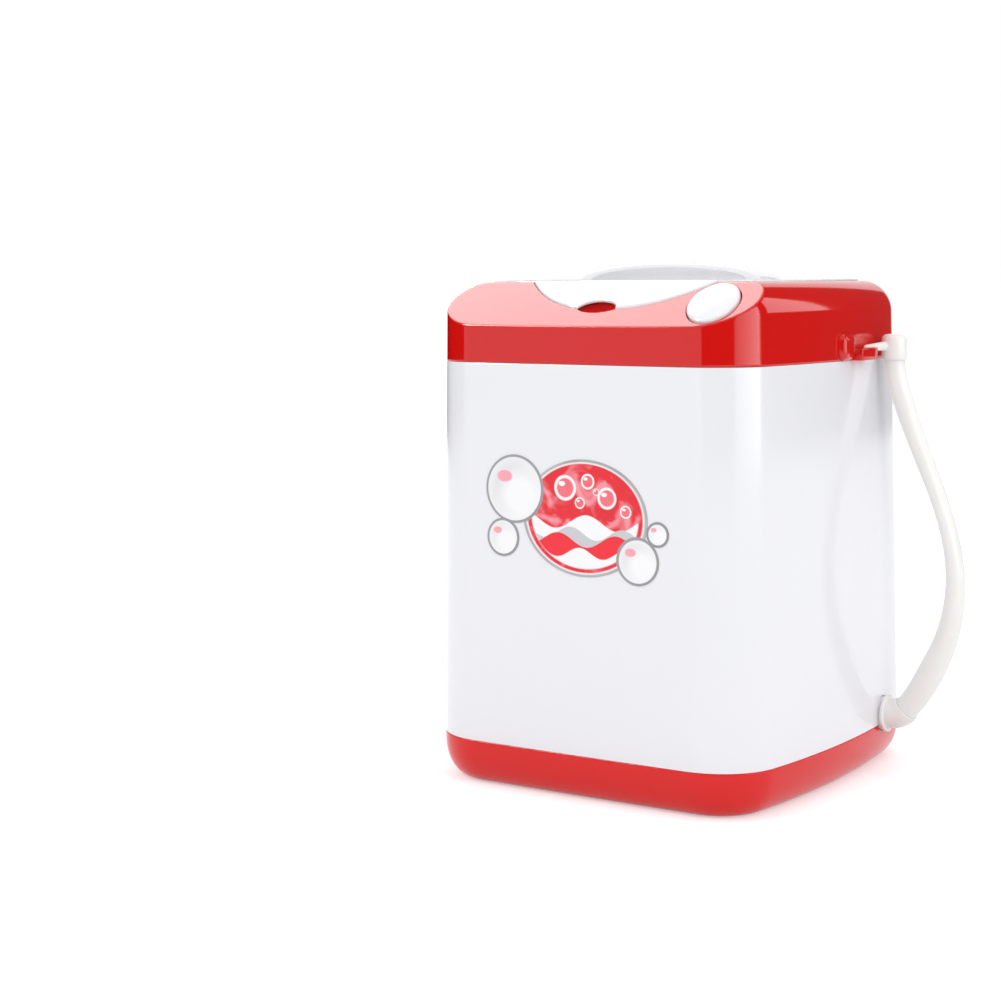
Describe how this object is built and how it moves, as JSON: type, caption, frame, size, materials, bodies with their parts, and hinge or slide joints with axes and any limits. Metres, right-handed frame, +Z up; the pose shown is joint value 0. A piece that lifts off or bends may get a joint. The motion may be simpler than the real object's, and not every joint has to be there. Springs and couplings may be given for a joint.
{
  "type": "toy washing machine",
  "caption": "Toy top-loading washing machine with a lift-up lid, sloped panel with push button, turning impeller and clip-up drain hose.",
  "frame": {"origin": "on the surface that the toy stands on, under the middle of the body", "axes": "+Z up, the front panel faces -Y, +X to the right of someone who faces the front"},
  "size_m": [0.1763, 0.1479, 0.1934],
  "materials": {
    "red_plastic": "glossy",
    "white_plastic": "glossy",
    "ivory_hose": "satin, flexible",
    "label_print": "printed film",
    "steel": "plain",
    "brass_bush": "sintered",
    "black_rubber": "matte",
    "gear_plastic": "matte",
    "grey_plastic": "matte",
    "blue_plastic": "glossy",
    "copper_winding": "wound",
    "clear_pipe": "soft",
    "cell_sleeve": "glossy",
    "red_lead": "glossy",
    "black_lead": "glossy",
    "blue_lead": "glossy"
  },
  "bodies": {
    "casing": {"outer_shell": "white_plastic", "base_tray": "red_plastic", "top_console": "red_plastic", "front_label": "label_print", "wash_tub": "white_plastic", "tub_screws": "steel", "case_screws": "steel", "shaft_bush": "brass_bush", "shaft_seal": "black_rubber", "gear_plate": "grey_plastic", "gear_plate_screws": "steel", "idler_pin": "steel", "motor_can": "steel", "motor_end_cap": "gear_plastic", "motor_screws": "steel", "switch_bracket": "gear_plastic", "power_switch": "blue_plastic", "battery_cells": "cell_sleeve", "contact_plates": "steel", "contact_springs": "steel", "drain_pipe": "clear_pipe", "drain_socket": "white_plastic", "red_wire": "red_lead", "black_wire": "black_lead", "blue_wire": "blue_lead"},
    "lid": {"lid": "white_plastic"},
    "power_button": {"power_button": "white_plastic", "switch_plunger": "grey_plastic", "button_spring": "steel"},
    "impeller": {"impeller": "white_plastic", "impeller_shaft": "steel", "impeller_screw": "steel", "output_gear": "gear_plastic"},
    "idler_gear": {"idler_gear": "gear_plastic"},
    "motor_rotor": {"motor_shaft": "steel", "motor_armature": "copper_winding", "motor_pinion": "brass_bush"},
    "drain_hose": {"hose_elbow": "ivory_hose", "drain_hose": "ivory_hose", "hose_cap": "ivory_hose"},
    "battery_door": {"battery_door": "white_plastic", "door_screw": "steel"}
  },
  "joints": [
    {"name": "lid_hinge", "type": "hinge", "parent": "casing", "child": "lid", "pos_m": [0, 0.0574, 0.1844], "axis": [-1, 0, 0], "range_deg": [0, 100]},
    {"name": "button_press", "type": "slide", "parent": "casing", "child": "power_button", "axis": [0, 0.4818, -0.8763], "range_m": [0, 0.0022], "stiffness_N_per_m": 200, "springref_m": -0.003, "deforming": ["button_spring"]},
    {"name": "impeller_spin", "type": "hinge", "parent": "casing", "child": "impeller", "pos_m": [0, 0.009, 0.06], "axis": [0, 0, 1], "continuous": true},
    {"name": "idler_spin", "type": "hinge", "parent": "casing", "child": "idler_gear", "pos_m": [0, -0.0118, 0.04], "axis": [0, 0, 1], "continuous": true},
    {"name": "motor_spin", "type": "hinge", "parent": "casing", "child": "motor_rotor", "pos_m": [0, -0.0302, 0.03], "axis": [0, 0, 1], "continuous": true},
    {"name": "hose_swing", "type": "hinge", "parent": "casing", "child": "drain_hose", "pos_m": [0.075, 0.036, 0.0205], "axis": [-1, 0, 0], "range_deg": [0, 90]},
    {"name": "door_pull", "type": "slide", "parent": "casing", "child": "battery_door", "axis": [0, 1, 0], "range_m": [0, 0.025]}
  ],
  "couplings": [
    {"joint": "idler_spin", "follows": "impeller_spin", "ratio": -3.3333},
    {"joint": "motor_spin", "follows": "impeller_spin", "ratio": 12}
  ]
}
